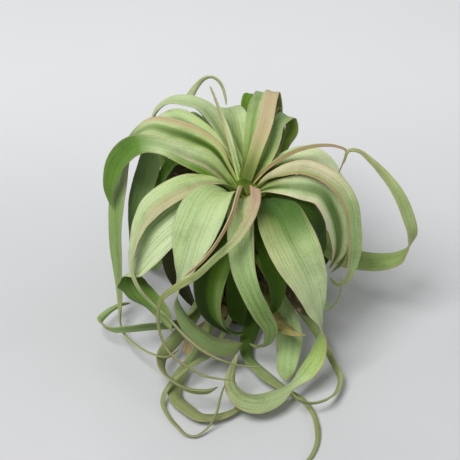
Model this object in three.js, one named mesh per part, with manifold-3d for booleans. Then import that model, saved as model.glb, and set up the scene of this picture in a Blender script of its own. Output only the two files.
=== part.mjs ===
// A curly air plant: strap leaves that arch out of a crown and curl down into a ball round a swollen bulb.
// Millimetres, +Z up, front towards -Y. The plant stands on the flat underside of its bulb, at the origin.
// Every leaf is a thin solid blade of its own. Its base sits in a socket in the bulb, a small gap clear.
import * as THREE from 'three';
import { mergeVertices } from 'three/addons/utils/BufferGeometryUtils.js';
import Module from 'manifold-3d';

const wasm = await Module();
wasm.setup();

// Driving dimensions.
const BLADE_THICKNESS = 0.9; // along the middle of a leaf
const EDGE_THICKNESS = 0.6; // at its margins, and all of the narrowest tips
const NARROWEST_TIP = 1; // width
const STRAP_WIDTH = 5.5; // a leaf at least this wide is a channel, a narrower one a flat thong
const CHANNEL_DEPTH = 0.22; // rise of the margins at the base, as a share of the width
const CHANNEL_FLATTENING = 0.5; // share of that rise lost where the leaf is flattest
const FLATTENING_SPAN = 1.1; // so that the rise is back a little before the tip
const WIDTH_OVERSHOOT = 0.1; // share by which a smooth width may pass the listed ones beside it
const SOCKET_GAP = 0.3; // between a leaf's base and the bulb
const SOCKET_POINTS = 2; // route points that a socket reaches over
const BROAD_WIDTH = 9; // a leaf at least this wide has more cross-sections from one route point to the next
const BROAD_STEPS = 3;
const SLIM_STEPS = 2;
const BALL_CENTRE = new THREE.Vector3(0, 0, 45); // the leaves curl round it
const HEART_SHIFT = 0.4; // a leaf's own centre of curl lies this share of the way to the ball's
const STEEP_START = 0.2; // below this the curl gives no clear upper side at the base, and up is added
const CURL_PULL = 0.6; // how fast a leaf turns its upper side away from that centre, for each route point
const BULB_SIDES = 20;
const BULB_FOLDS = 3;
const BULB_FOLD = 0.05; // depth of the folds of the old sheaths, as a share of the radius
const BULB_FOLD_TWIST = 0.06; // turn of the folds, radians a millimetre up
const FOOT_FILLET_HEIGHT = 1; // the folds begin above this height, so that the foot stays round
const WELD_DISTANCE = 1e-3; // joins the lathe's seam and poles

// The bulb's profile as [radius, height]: a flat foot, the swollen belly and the neck under the crown.
const BULB_PROFILE = [
  [0, 0], [9, 0], [12.5, 3], [15.5, 9], [16.5, 17], [15.5, 26], [13.5, 35], [11.5, 44],
  [10, 54], [9, 62], [7.8, 69], [6.2, 74], [3.8, 77.5], [0, 79],
];

// Leaf routes from base to tip. A point is [x, y, z, width], or [x, y, z, width, roll] where the leaf turns
// its upper side by roll degrees about its own run.
const FRONT_LEAVES = {
  leaf_front_pink: [
    [3, -4, 72, 2], [4, -14, 86, 5], [4, -28, 90, 5], [1, -40, 89, 4.5], [-5, -49, 85, 4], [-13, -53, 79, 3],
    [-21, -55, 71, 3], [-30, -56, 65, 3], [-36, -55, 58, 2.5], [-38, -53, 48, 2], [-38, -52, 38, 2],
    [-36, -53, 29, 2], [-32, -56, 24, 2], [-25, -61, 22, 2], [-18, -65, 21, 2], [-11, -68, 22, 1.5],
    [-5, -69, 22, 1],
  ],
  leaf_front_thin: [
    [-1, -4, 74, 2], [-2, -13, 86, 2], [-4, -28, 91, 1.8], [-6, -40, 92, 1.8], [-10, -50, 90, 1.5],
    [-14, -56, 87, 1.4], [-19, -59, 82, 1.2], [-26, -60, 75, 1],
  ],
  leaf_front_center: [
    [0, -6, 71, 2.5], [-1, -17, 82, 9.5], [-2, -30, 85, 11.5], [-2, -41, 78, 11.5], [-1, -48, 69, 10.5],
    [2, -51, 59, 9], [7, -51, 46, 8.5], [11, -48, 34, 6.5], [10, -43, 21, 4.5], [6, -38, 13, 2.5],
    [2, -35, 12, 2],
  ],
  leaf_front_left_broad: [
    [-3, -5, 70, 2.5], [-7, -12, 81, 8], [-12, -21, 88, 15], [-16, -29, 89, 20.5], [-19.5, -37, 86, 22],
    [-23, -42, 79, 19], [-26, -46, 69, 11], [-29, -46, 57, 5.5, 40], [-30, -43, 44, 6.5, 60],
    [-26, -44, 34, 8.5, 65], [-20, -45, 27, 9, 65], [-13, -45, 21, 9, 65], [-5, -43, 18, 8, 65],
    [-1, -40, 17, 2.5, 65],
  ],
  leaf_front_cupped: [
    [-1, -6, 69, 2.5], [-4, -18, 75, 6.5], [-8, -29, 71, 12.5], [-13, -34, 60, 15.5], [-16, -35, 46, 15],
    [-15, -34, 31, 12.5], [-11, -32, 21, 8], [-5, -31, 15, 4], [0, -29, 13, 2],
  ],
  leaf_front_inner: [
    [1, -7, 67, 2], [1, -18, 69, 6], [-1, -25, 61, 10], [-2, -27, 48, 11], [-3, -26, 34, 11],
    [-3, -24, 21, 8], [-1, -22, 11, 3.5],
  ],
  leaf_front_right_inner: [
    [3, -6, 68, 2], [6, -19, 73, 6.5], [9, -29, 69, 10], [12, -35, 60, 10.5], [14, -38, 49, 8],
    [13, -38, 38, 5], [12, -37, 32, 2.5],
  ],
  leaf_front_right_broad: [
    [5, -6, 70, 2.5], [8.5, -14, 77, 8.5], [13.5, -24, 79, 19.5, 5], [17, -35, 77, 23, 10],
    [21.5, -43, 72, 22.5, 15], [27, -47, 61, 18.5, 10], [30, -49, 50, 13.5], [33, -49, 38, 7.5, -30],
    [34, -48, 29, 8, -60], [32, -50, 19, 10, -70], [27, -55, 13, 8.5, -70], [21, -61, 11, 4.2, -60],
    [13, -67, 10, 9.5, -60], [5, -70, 10, 11, -60], [-2, -68, 11, 9, -60], [-6, -63, 14, 6, -60],
    [-5, -58, 19, 4, -60], [-3, -54, 24, 2.5, -60],
  ],
};

const RIGHT_LEAVES = {
  leaf_right_inner: [
    [6, -3, 68, 2.5], [13, -9, 75, 6, 10], [20, -14, 77, 10, 15], [27, -16, 73, 11.5, 15],
    [32, -15, 64, 10.5, 10], [34, -13, 52, 8], [35, -10, 40, 4],
  ],
  leaf_right_channelled: [
    [5, -2, 73, 2.5], [11, -7, 80, 6, 10], [17, -12, 85, 9, 20], [25, -15, 87, 12.5, 25],
    [33, -16, 85, 13.5, 25], [38, -18, 77, 13, 25], [41, -20, 66, 11.5, 30], [41, -21, 56, 8.5, 30],
    [38, -22, 46, 3, 30],
  ],
  leaf_right_outer: [
    [5, 0, 74, 2.5], [11, -3, 83, 5, 10], [18, -6, 89, 7.5, 20], [26, -9, 93, 8.5, 20],
    [34, -12, 92, 8.5, 20], [41, -15, 88, 8, 30], [46, -18, 80, 7.5, 45], [48, -19, 69, 7, 50],
    [49, -20, 57, 6.5, 50], [48, -21, 47, 5.5, 45], [46, -23, 41, 3.5, 30], [42, -26, 40, 2],
    [38, -27, 45, 1.5],
  ],
  leaf_right_pale: [
    [5, 4, 72, 2.5], [12, 9, 78, 6, 10], [20, 13, 80, 11, 20], [28, 15, 80, 14, 25],
    [35, 15, 77, 14.5, 25], [40, 13, 71, 12, 30], [43, 11, 64, 9, 40], [44, 9, 55, 5.5, 40],
    [43, 8, 46, 3, 40],
  ],
  leaf_right_thin_pink: [
    [3, 1, 76, 1.5], [9, 5, 81, 3.5], [16, 8, 85, 4.5], [25, 10, 89, 4.2], [34, 9, 92, 3], [41, 7, 93, 2],
    [45, 5, 92, 2], [44, 4, 87, 1.5], [42, 3, 81, 1],
  ],
  leaf_right_loop: [
    [7, 1, 63, 3], [17, 5, 58, 6.5], [27, 6, 50, 9], [37, 4, 40, 10], [46, 1, 34, 10], [54, -1, 33, 9.5],
    [64, -3, 34, 9], [71, -5, 38, 8], [75, -6, 45, 7, -20], [76, -6, 53, 6.5, -45], [73, -5, 64, 6.5, -50],
    [68, -3, 75, 5.5, -50], [62, -1, 83, 4.5, -40], [55, 1, 90, 3.5, -20], [50, 2, 94, 2.5], [46, 2, 94, 2],
    [44, 1, 88, 1.5],
  ],
  leaf_right_behind: [
    [6, 4, 66, 2.5], [16, 7, 71, 5.5], [27, 6, 70, 8], [37, 2, 65, 9], [44, -2, 57, 8.5],
    [46, -6, 47, 7.5], [44, -8, 38, 5], [40, -11, 34, 2.5],
  ],
  leaf_right_low: [
    [6, -6, 64, 3], [14, -16, 67, 6], [21, -24, 63, 8], [27, -28, 53, 8], [31, -31, 45, 6.5],
    [34, -33, 38, 4.5], [38, -33, 32, 2], [41, -32, 34, 1], [43, -31, 41, 1], [43, -30, 49, 1],
  ],
};

const BACK_LEAVES = {
  leaf_back_1: [
    [-1, 6, 75, 1.5], [-4, 14, 80, 5], [-9, 23.5, 84, 9.5], [-14, 31, 89, 13], [-20, 35, 94, 13.5],
    [-28, 37, 96, 11.5, -10], [-35, 38, 95, 9, -10], [-41, 38, 89, 7.5, -20], [-43, 36, 81, 6, -30],
    [-45, 34, 71, 5.5, -30], [-44, 31, 60, 4, -30], [-41, 29, 44, 3], [-37, 28, 34, 1.5],
  ],
  leaf_back_2: [
    [-2, 3, 76, 1.5], [-4, 9, 82, 2.4], [-7, 18, 89, 3], [-9.5, 26, 93, 2.4], [-12, 32, 96.5, 1.6],
    [-14, 36, 100, 1.2], [-16, 38.5, 104, 1],
  ],
  leaf_back_broad: [
    [-1, 6, 72, 1.5], [-3, 21, 76, 6], [-4, 32, 81.5, 12], [-6, 41, 85, 14], [-7.5, 46, 85.5, 11.5],
    [-8.5, 50, 82, 8], [-8.5, 52.5, 76, 6], [-9.5, 54, 66, 6], [-11, 54, 54, 6], [-10, 51, 41, 5],
    [-7, 48, 33, 3],
  ],
  leaf_back_3: [
    [0, 4, 77, 2], [2, 14, 85, 4.5], [4, 25, 91, 7.5], [6, 35, 95, 8.5], [7.3, 43, 94, 7.5],
    [9.5, 52, 90, 7.5], [14, 58, 75, 7], [16, 60, 58, 6], [16, 58, 42, 4.5], [13, 52, 29, 3],
    [6, 45, 22, 1.5],
  ],
  leaf_back_curl: [
    [1, 6, 69, 1], [1, 28, 73, 2.5], [1.5, 42, 76, 4], [1, 50, 83, 5.5], [1.5, 54, 87, 4.5], [2.5, 57, 86, 3],
    [3, 61, 75, 3], [3, 63, 60, 3], [5, 62, 45, 2.5], [8, 59, 33, 2],
  ],
  leaf_back_pink: [
    [1, 2, 78, 2.5], [5, 9, 89, 6], [9, 18, 97, 7], [11, 28, 102, 7], [12.5, 35, 102.5, 6.5],
    [14, 41, 96.5, 5.5], [15, 46, 83, 5.5], [15, 47, 68, 4], [15, 47, 55, 2.5],
  ],
  leaf_back_4: [
    [3, 6, 75, 2], [7.5, 17, 83.5, 3.5], [10.5, 26, 89, 5], [12.5, 33.5, 92.5, 4.5], [14.5, 38, 92, 4],
    [16, 41, 86, 4], [17.5, 43, 74, 3.5], [18.5, 43, 62, 2],
  ],
  leaf_back_5: [
    [3, 4, 76, 2], [9, 12, 82, 7.5], [12.5, 19, 87, 8], [14.5, 25, 92, 7.5], [18, 29.5, 92.5, 7.5],
    [20, 33, 90, 8], [21, 33, 83, 7.5], [19, 31, 77, 4.5], [16, 27, 70, 2],
  ],
  leaf_top_tendril: [
    [-2, 6, 69, 2], [-6, 25, 74, 3.5], [-13, 40, 78, 4.5], [-21, 51.5, 80.5, 4], [-26.5, 53, 84.5, 4],
    [-24.7, 53, 89.5, 3.5], [-22, 53, 94, 3], [-18.9, 53, 97.5, 2.6], [-15.7, 53, 98.7, 2.3],
    [-12.6, 53, 97, 2], [-10.3, 53, 92.8, 1.6], [-9, 52, 88, 1.3], [-8.5, 51, 84, 1],
  ],
  leaf_back_6: [
    [-1, 7, 65, 2], [-6, 31, 70, 5.5], [-15, 50, 72, 8], [-22, 62, 69, 9], [-28, 67, 60, 9],
    [-31, 67, 48, 7.5], [-30, 62, 35, 5], [-26, 55, 25, 2.5],
  ],
  leaf_back_7: [
    [-3, 5, 71, 1.5], [-8, 19, 76, 4.5], [-15, 32, 79, 7.5], [-22, 41, 81, 9], [-27, 47, 81, 8.5],
    [-35, 53, 70, 8], [-38, 55, 58, 7], [-38, 54, 46, 5], [-36, 51, 35, 3],
  ],
};

const LEFT_LEAVES = {
  leaf_left_arch_1: [
    [-5, 0, 73, 2.5], [-9, 0, 79, 5.5, -15], [-17, 0, 88, 10.5, -40], [-26, 0.5, 92.5, 9.5, -38],
    [-35, 2, 96.5, 8, -44], [-43, 4, 97, 8, -52], [-49, 6, 94.5, 9.5, -60], [-54, 8, 89, 10, -65],
    [-58.5, 9, 80.5, 9, -65], [-61, 8, 70, 6.5, -60], [-61.5, 6, 60, 2.5, -50],
  ],
  leaf_left_arch_2: [
    [-4, 1, 75, 1.5], [-8, 5, 81, 4, -10], [-14, 9, 89, 9, -25], [-23, 12, 93, 11.5, -35],
    [-33, 15, 95, 12, -40], [-42, 17, 96, 10.5, -35], [-48, 18, 92, 8, -35], [-52, 18, 85, 8.5, -40],
    [-54, 17, 77, 9.5, -50], [-56, 14, 68, 10.5, -55], [-58, 9, 60, 11, -55], [-59, 4, 49, 11, -50],
    [-59, 1, 38, 10, -50], [-58.5, -2, 28, 8.5, -45], [-58, -6, 19, 6, -45], [-58, -10, 12, 4, -45],
    [-58, -17, 8, 2.5, -30], [-55, -26, 8, 2], [-49, -36, 11, 2], [-42, -45, 15, 1.5], [-35, -51, 19, 1.5],
    [-29, -54, 27, 1],
  ],
  leaf_left_arch_3: [
    [-3, 5, 74, 1.5], [-8, 11, 82.5, 4], [-15, 18, 88.5, 8, -10], [-24, 22.5, 92, 11.5, -20],
    [-32, 27, 93, 12.5, -25], [-38, 27, 90, 11.5, -30], [-41, 26, 85, 11, -45], [-42, 24, 79, 11.5, -60],
    [-43.5, 20, 72, 12, -72], [-46, 16.5, 65, 11.5, -75], [-49, 13, 57, 9.5, -70], [-51, 10, 49, 6.5, -60],
    [-52, 8, 40, 4, -45], [-52, 6, 29, 3, -40], [-51, 3, 19, 2, -30], [-50, 1, 12, 1.5],
  ],
  leaf_left_inner: [
    [-4, 5, 70, 2.5], [-14, 13, 75, 6], [-23, 18, 76, 9], [-30, 20, 75, 10.5, -15], [-35, 19, 70, 10.5, -30],
    [-38, 16, 63, 8.5, -40], [-39, 13, 55, 4, -40],
  ],
  leaf_left_crease: [
    [-5, -3, 74, 2], [-9, -7, 82, 4.5, -10], [-16, -9, 85, 8, -20], [-25, -12, 85, 12.5, -30],
    [-34, -15, 82, 14, -30], [-41, -17, 77, 13.5, -30], [-46, -20, 70, 11.5, -20], [-49, -25, 62, 8.5, -10],
    [-50, -33, 56, 5], [-47, -40, 51, 3.5], [-41, -44, 45, 2.5], [-34, -49, 41, 2], [-26, -55, 35, 2],
    [-18, -59, 30, 2], [-9, -61, 26, 1.5], [0, -61, 23, 1], [8, -61, 23, 1],
  ],
  leaf_left_broad: [
    [-5, -4, 69, 2.5], [-10, -11, 75, 6.5], [-18, -16, 76, 13], [-26, -21, 75.5, 18.5], [-34, -24, 70, 21],
    [-41, -25, 62, 21], [-47, -25, 53, 17.5], [-52, -25, 45, 12, 50], [-50, -27, 37, 13.5, 130],
    [-43.5, -30.5, 30.5, 15.5, 150], [-37, -35.5, 26, 11.5, 150], [-33, -39, 23, 4, 150],
  ],
};

// Leaves that leave the bulb lower down and run out over the surface.
const LOW_LEAVES = {
  leaf_left_loop: [
    [-7, -9, 42, 3], [-17, -20, 29, 5.5], [-24, -26, 21.5, 6.5], [-33, -29, 19, 7], [-44, -28, 16.5, 7],
    [-54, -27, 14, 6.5], [-62, -25, 12, 5.5], [-67, -19, 11, 4], [-64, -12, 10, 3], [-59, -5, 8, 2],
    [-54, 0, 5, 1],
  ],
  leaf_low_left_inner: [
    [-10, -8, 38, 3], [-18, -15, 24, 5.5], [-25, -24, 15, 6.5], [-32, -33, 12, 6.5], [-37, -42, 12, 6],
    [-37, -53, 14, 5.5], [-33, -61, 15, 5.5], [-25, -66, 14, 5.5], [-17, -67, 14, 4.5], [-12, -65, 14, 2.5],
  ],
  leaf_low_left_outer: [
    [-7, -10, 34, 3], [-13, -15, 17, 4.5], [-18, -37, 17, 5.5], [-25, -43, 8, 5.5], [-31, -53, 4, 6.5, 35],
    [-31, -62, 4, 6.5, 45], [-26, -68, 4, 7, 45], [-20, -73, 4, 6.5, 45], [-13, -73, 4, 5.5, 45],
    [-6, -70, 4, 4, 40], [-1, -66, 5, 2.5, 30], [2, -64, 8, 2],
  ],
  leaf_low_left_thin: [
    [-4, -15, 19, 2.5], [-8, -21, 11, 2.5], [-15, -37, 8, 2.5], [-24, -49, 12, 2.5], [-33, -57, 9, 2.5],
    [-37, -64, 4, 2], [-34, -71, 1.5, 2], [-30, -77, 1.5, 2], [-26, -82, 1.5, 2], [-22, -83, 1.5, 2],
    [-17, -80, 3, 2], [-13, -76, 8, 2], [-11, -70, 13, 1.5], [-9, -65, 16, 1],
  ],
  leaf_low_right_loop: [
    [7, -9, 46, 2.5], [19, -17, 28, 4.5], [29, -25, 17, 4.5], [36, -33, 10, 4], [40, -43, 8, 3.5],
    [43, -51, 6, 3.5], [41, -59, 5, 3.5], [36, -66, 7, 3.5], [29, -69, 8, 3], [24, -69, 10, 2.5],
    [20, -66, 12, 2],
  ],
  leaf_low_right: [
    [4, -10, 43, 2.5], [13, -17, 30, 6.5], [18.5, -27, 22, 10, -20], [20, -36, 17, 12.5, -40],
    [19.5, -43, 13.5, 11, -45], [18.5, -50, 11.5, 9, -45], [18.5, -54.5, 10.5, 6, -45],
    [18.5, -57.5, 10, 2.5, -45],
  ],
  leaf_low_front: [
    [5, -14, 14, 5], [4, -21, 9, 7], [1.5, -29, 6.5, 7.5], [2, -37, 5.5, 7], [6, -43, 5, 8],
    [10.5, -48.5, 5, 10], [15.5, -53, 4, 9], [21, -56.5, 2.5, 5], [26, -61, 2.5, 3.5], [29, -66, 2.5, 3],
    [31, -72, 2.5, 2.5], [32, -80, 2, 2.5], [31, -88, 2, 2], [28, -95, 1.5, 2], [25, -99, 1.5, 1],
  ],
};

// Leaves round the back and the inside.
const BEHIND_LEAVES = {
  leaf_behind_left: [
    [-8, 6, 50, 4], [-19, 25, 56, 8, -10], [-31, 41, 54, 13, -30], [-38, 44, 44, 13, -35],
    [-41, 42, 33, 10, -30], [-39, 39, 25, 4, -30],
  ],
  leaf_behind_center: [
    [-2, 9, 52, 4], [-6, 22, 58, 12], [-9, 36, 56, 16], [-10, 43, 45, 16], [-9, 44, 31, 14],
    [-6, 39, 16, 10], [-2, 30, 8, 5],
  ],
  leaf_behind_center_2: [
    [5, 8, 54, 4], [11, 21, 65, 11], [15, 32, 64, 14], [18, 39, 50, 14], [18, 40, 34, 12],
    [15, 35, 19, 9], [10, 27, 9, 4],
  ],
  leaf_behind_right: [
    [9, 5, 46, 4], [20, 16, 53, 10, 10], [32, 25, 53, 14, 20], [41, 28, 41, 14, 30], [42, 28, 26, 12, 30],
    [38, 24, 12, 8, 30], [31, 21, 5, 3, 20],
  ],
  leaf_behind_low_left: [
    [-10, 5, 43, 5], [-22, 13, 46, 12, -10], [-32, 18, 37, 15, -30], [-38, 20, 23, 15, -40],
    [-41, 24, 11, 10, -30], [-46, 30, 4, 6], [-54, 35, 2, 3],
  ],
  leaf_behind_low_right: [
    [7, 10, 44, 5], [17, 21, 50, 11], [27, 30, 45, 12], [32, 36, 32, 12], [33, 38, 18, 9],
    [30, 40, 7, 6], [22, 42, 3, 4], [12, 40, 4, 2.5],
  ],
  leaf_deep_left: [
    [-7, -2, 59, 4], [-19, -4, 62, 8, -20], [-28, -5, 56, 11, -45], [-32, -6, 43, 13, -60],
    [-31, -6, 29, 11, -60], [-26, -7, 16, 6, -60], [-23, -7, 8, 3, -60],
  ],
};

// Withered leaves, shorter and papery.
const DRY_LEAVES = {
  dry_leaf_right: [
    [6, -13, 30, 3.5], [12, -27, 26, 5.5], [16, -38, 27, 7], [21, -47, 31, 6], [27, -52, 33, 1],
  ],
  dry_leaf_brown: [
    [10, -6, 43, 4], [17, -16, 40, 9, 10], [22, -23, 35, 13, 15], [27, -28, 29, 11, 15],
    [31, -31, 23, 3, 10],
  ],
  dry_leaf_left: [
    [-9, -14, 16, 3.5], [-16, -21, 12, 6], [-22, -28, 10, 8.5], [-25, -35, 8, 8], [-25, -39, 7, 2],
  ],
  dry_leaf_back: [
    [-9, 4, 55, 5], [-19, 14, 63, 12, -10], [-26, 22, 66, 16, -20],
    [-34, 25, 62, 14, -30], [-38, 25, 52, 5, -30],
  ],
};

const leafMaterial = new THREE.MeshStandardMaterial({ color: 0x8ca873, roughness: 0.75, metalness: 0 });
const dryLeafMaterial = new THREE.MeshStandardMaterial({ color: 0x9c8a5c, roughness: 0.9, metalness: 0 });
const bulbMaterial = new THREE.MeshStandardMaterial({ color: 0x4a4430, roughness: 0.95, metalness: 0 });

/** Widest listed width of a leaf. */
function widest(route) {
  return Math.max(...route.map((point) => point[3]));
}

/** Cross-sections from one route point to the next. */
function stepsPerPoint(route) {
  return widest(route) >= BROAD_WIDTH ? BROAD_STEPS : SLIM_STEPS;
}

/** Width at k route points along the route: a smooth curve through the listed widths, held close to them. */
function widthAt(route, k) {
  const last = route.length - 1;
  const index = Math.min(Math.floor(k), last - 1);
  const f = k - index;
  const width = (i) => route[THREE.MathUtils.clamp(i, 0, last)][3];
  const [before, from, to, after] = [-1, 0, 1, 2].map((step) => width(index + step));
  const slope = to - before;
  const bend = 2 * before - 5 * from + 4 * to - after;
  const twist = 3 * from - before - 3 * to + after;
  const smooth = from + 0.5 * f * (slope + f * (bend + f * twist));
  const least = (1 - WIDTH_OVERSHOOT) * Math.min(from, to);
  const most = (1 + WIDTH_OVERSHOOT) * Math.max(from, to);
  return Math.max(THREE.MathUtils.clamp(smooth, least, most), NARROWEST_TIP);
}

/** Roll in radians at k route points along the route, eased from point to point. */
function rollAt(route, k) {
  const index = Math.min(Math.floor(k), route.length - 2);
  const from = route[index][4] ?? 0;
  const to = route[index + 1][4] ?? 0;
  const eased = THREE.MathUtils.smoothstep(k - index, 0, 1);
  return THREE.MathUtils.degToRad(THREE.MathUtils.lerp(from, to, eased));
}

/** Cross-sections along a leaf: middle, run, the way its upper side faces, its side, width and channel. */
function leafSections(route) {
  const points = route.map(([x, y, z]) => new THREE.Vector3(x, y, z));
  const curve = new THREE.CatmullRomCurve3(points, false, 'centripetal');
  const spans = route.length - 1;
  const steps = spans * stepsPerPoint(route);
  const total = points.reduce((sum, point) => sum.add(point), new THREE.Vector3());
  const heart = total.divideScalar(points.length).lerp(BALL_CENTRE, HEART_SHIFT);
  const upward = new THREE.Vector3(0, 0, 1);
  let face = null;
  return Array.from({ length: steps + 1 }, (_, step) => {
    const t = step / steps;
    const centre = curve.getPoint(t);
    const run = curve.getTangent(t);
    const outward = centre.clone().sub(heart).normalize().projectOnPlane(run);
    if (face === null) {
      face = outward.clone();
      if (outward.length() < STEEP_START) {
        face.add(upward.clone().projectOnPlane(run)).normalize();
      }
    }
    face.addScaledVector(outward, CURL_PULL / stepsPerPoint(route)).projectOnPlane(run).normalize();
    const upper = face.clone().applyAxisAngle(run, rollAt(route, t * spans));
    const side = new THREE.Vector3().crossVectors(run, upper).normalize();
    const flattening = CHANNEL_FLATTENING * Math.sin(Math.PI * Math.min(1, FLATTENING_SPAN * t));
    const channel = CHANNEL_DEPTH * (1 - flattening);
    return { centre, run, upper, side, width: widthAt(route, t * spans), channel };
  });
}

/** Outline of a section as [across, up] pairs: a shallow V for a strap, a flat bar for a thong. */
function sectionOutline({ width, channel }, isStrap, grow) {
  const half = width / 2 + grow;
  const edge = EDGE_THICKNESS / 2 + grow;
  const core = THREE.MathUtils.clamp(width / 2, EDGE_THICKNESS, BLADE_THICKNESS) / 2 + grow;
  if (!isStrap) {
    return [[-half, -core], [half, -core], [half, core], [-half, core]];
  }
  const rise = channel * width;
  return [
    [-half, rise - edge], [0, -core], [half, rise - edge],
    [half, rise + edge], [0, core], [-half, rise + edge],
  ];
}

/** Triangles between one outline and the next, the quads split alike on the upper and the lower face. */
function skinTriangles(sides, steps) {
  const triangles = [];
  for (let step = 0; step < steps; step += 1) {
    for (let i = 0; i < sides; i += 1) {
      const a = step * sides + i;
      const b = step * sides + ((i + 1) % sides);
      const [c, d] = [a + sides, b + sides];
      const splitsOtherWay = sides === 6 ? i === 1 || i === 4 : i === 2;
      triangles.push(...(splitsOtherWay ? [a, c, d, a, d, b] : [a, c, b, b, c, d]));
    }
  }
  return triangles;
}

/** Closed blade along the sections. grow thickens it all round and lengthens its base, for its socket. */
function bladeGeometry(sections, isStrap, grow = 0) {
  const positions = [];
  sections.forEach((section, step) => {
    const back = step === 0 ? grow : 0;
    for (const [across, up] of sectionOutline(section, isStrap, grow)) {
      const point = section.centre.clone().addScaledVector(section.run, -back);
      point.addScaledVector(section.side, across).addScaledVector(section.upper, up);
      positions.push(point.x, point.y, point.z);
    }
  });
  const sides = isStrap ? 6 : 4;
  const steps = sections.length - 1;
  const capFans = isStrap ? [[0, 1, 5], [1, 4, 5], [1, 2, 3], [1, 3, 4]] : [[0, 1, 2], [0, 2, 3]];
  const baseCap = capFans.flat();
  const tipCap = capFans.flatMap(([a, b, c]) => [a, c, b].map((i) => i + steps * sides));
  const geometry = new THREE.BufferGeometry();
  geometry.setAttribute('position', new THREE.Float32BufferAttribute(positions, 3));
  geometry.setIndex([...skinTriangles(sides, steps), ...baseCap, ...tipCap]);
  return geometry;
}

/** Manifold solid of a closed indexed geometry. */
function toSolid(geometry) {
  const vertProperties = new Float32Array(geometry.getAttribute('position').array);
  const triVerts = new Uint32Array(geometry.getIndex().array);
  return new wasm.Manifold(new wasm.Mesh({ numProp: 3, vertProperties, triVerts }));
}

/** Geometry of a manifold solid. */
function toGeometry(solid) {
  const { vertProperties, triVerts } = solid.getMesh();
  const geometry = new THREE.BufferGeometry();
  geometry.setAttribute('position', new THREE.BufferAttribute(vertProperties, 3));
  geometry.setIndex(new THREE.BufferAttribute(triVerts, 1));
  return geometry;
}

/** A leaf's mesh, with its own origin at its base. */
function makeLeaf(name, route, material) {
  const isStrap = widest(route) >= STRAP_WIDTH;
  const geometry = bladeGeometry(leafSections(route), isStrap);
  const [x, y, z] = route[0];
  geometry.translate(-x, -y, -z);
  geometry.computeVertexNormals();
  const leaf = new THREE.Mesh(geometry, material);
  leaf.name = name;
  leaf.position.set(x, y, z);
  return leaf;
}

/** The space that a leaf's base needs in the bulb, with the gap round it. */
function makeSocket(route) {
  const isStrap = widest(route) >= STRAP_WIDTH;
  const sections = leafSections(route).slice(0, SOCKET_POINTS * stepsPerPoint(route) + 1);
  return toSolid(bladeGeometry(sections, isStrap, SOCKET_GAP));
}

/** The bulb: a turned body with twisted folds of old sheaths, cut by the sockets of the leaves. */
function makeBulb(routes) {
  const profile = BULB_PROFILE.map(([radius, height]) => new THREE.Vector2(radius, height));
  const turned = new THREE.LatheGeometry(profile, BULB_SIDES);
  turned.rotateX(Math.PI / 2);
  turned.deleteAttribute('normal');
  turned.deleteAttribute('uv');
  const body = mergeVertices(turned, WELD_DISTANCE);
  const position = body.getAttribute('position');
  for (let i = 0; i < position.count; i += 1) {
    const [x, y, z] = [position.getX(i), position.getY(i), position.getZ(i)];
    const fold = z > FOOT_FILLET_HEIGHT ? Math.cos(BULB_FOLDS * (Math.atan2(y, x) + BULB_FOLD_TWIST * z)) : 0;
    position.setXY(i, x * (1 + BULB_FOLD * fold), y * (1 + BULB_FOLD * fold));
  }
  const cut = routes.reduce((solid, route) => solid.subtract(makeSocket(route)), toSolid(body));
  const pieces = cut.decompose().sort((a, b) => b.volume() - a.volume());
  const bulb = new THREE.Mesh(toGeometry(pieces[0]), bulbMaterial);
  bulb.name = 'bulb';
  return bulb;
}

const liveLeaves = {
  ...FRONT_LEAVES, ...RIGHT_LEAVES, ...BACK_LEAVES, ...LEFT_LEAVES, ...LOW_LEAVES, ...BEHIND_LEAVES,
};
const plant = new THREE.Group();
plant.add(makeBulb([...Object.values(liveLeaves), ...Object.values(DRY_LEAVES)]));
for (const [name, route] of Object.entries(liveLeaves)) {
  plant.add(makeLeaf(name, route, leafMaterial));
}
for (const [name, route] of Object.entries(DRY_LEAVES)) {
  plant.add(makeLeaf(name, route, dryLeafMaterial));
}

export default plant;
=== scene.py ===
# A curly air plant: strap leaves that arch out of a crown and curl down into a ball round a swollen bulb.
# It stands on the flat underside of its bulb, at the origin. Sizes in the tables are millimetres.
import itertools
import math

import bpy
import numpy as np
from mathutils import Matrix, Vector


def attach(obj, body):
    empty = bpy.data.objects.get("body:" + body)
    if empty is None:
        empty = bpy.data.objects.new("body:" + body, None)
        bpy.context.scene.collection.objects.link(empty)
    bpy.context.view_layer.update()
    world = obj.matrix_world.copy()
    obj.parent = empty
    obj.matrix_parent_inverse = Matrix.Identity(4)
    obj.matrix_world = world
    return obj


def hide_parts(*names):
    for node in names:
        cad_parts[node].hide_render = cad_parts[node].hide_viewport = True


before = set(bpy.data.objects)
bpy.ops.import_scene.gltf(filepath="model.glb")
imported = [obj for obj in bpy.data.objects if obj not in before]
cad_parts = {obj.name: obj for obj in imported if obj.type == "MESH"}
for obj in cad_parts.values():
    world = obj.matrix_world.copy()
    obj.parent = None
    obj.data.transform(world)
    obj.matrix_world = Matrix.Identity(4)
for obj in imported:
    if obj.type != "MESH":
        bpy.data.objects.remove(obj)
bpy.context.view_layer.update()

# ---------------------------------------------------------------- Camera and light
# The plant is seen from 40 degrees above the table, from three quarters of a metre away. A wide soft box
# hangs over its front left, weaker ones stand on the right and behind, and an even room fills the shadows.
camera = bpy.data.objects.new("camera", bpy.data.cameras.new("camera"))
bpy.context.scene.collection.objects.link(camera)
camera.location = (-0.00675, -0.5867, 0.5426)
camera.rotation_euler = (math.radians(50), 0, 0)
camera.data.sensor_width = 36
camera.data.lens = 130.4
camera.data.clip_start = 0.01
camera.data.clip_end = 20
bpy.context.scene.camera = camera
bpy.context.scene.view_settings.view_transform = "Standard"

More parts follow.
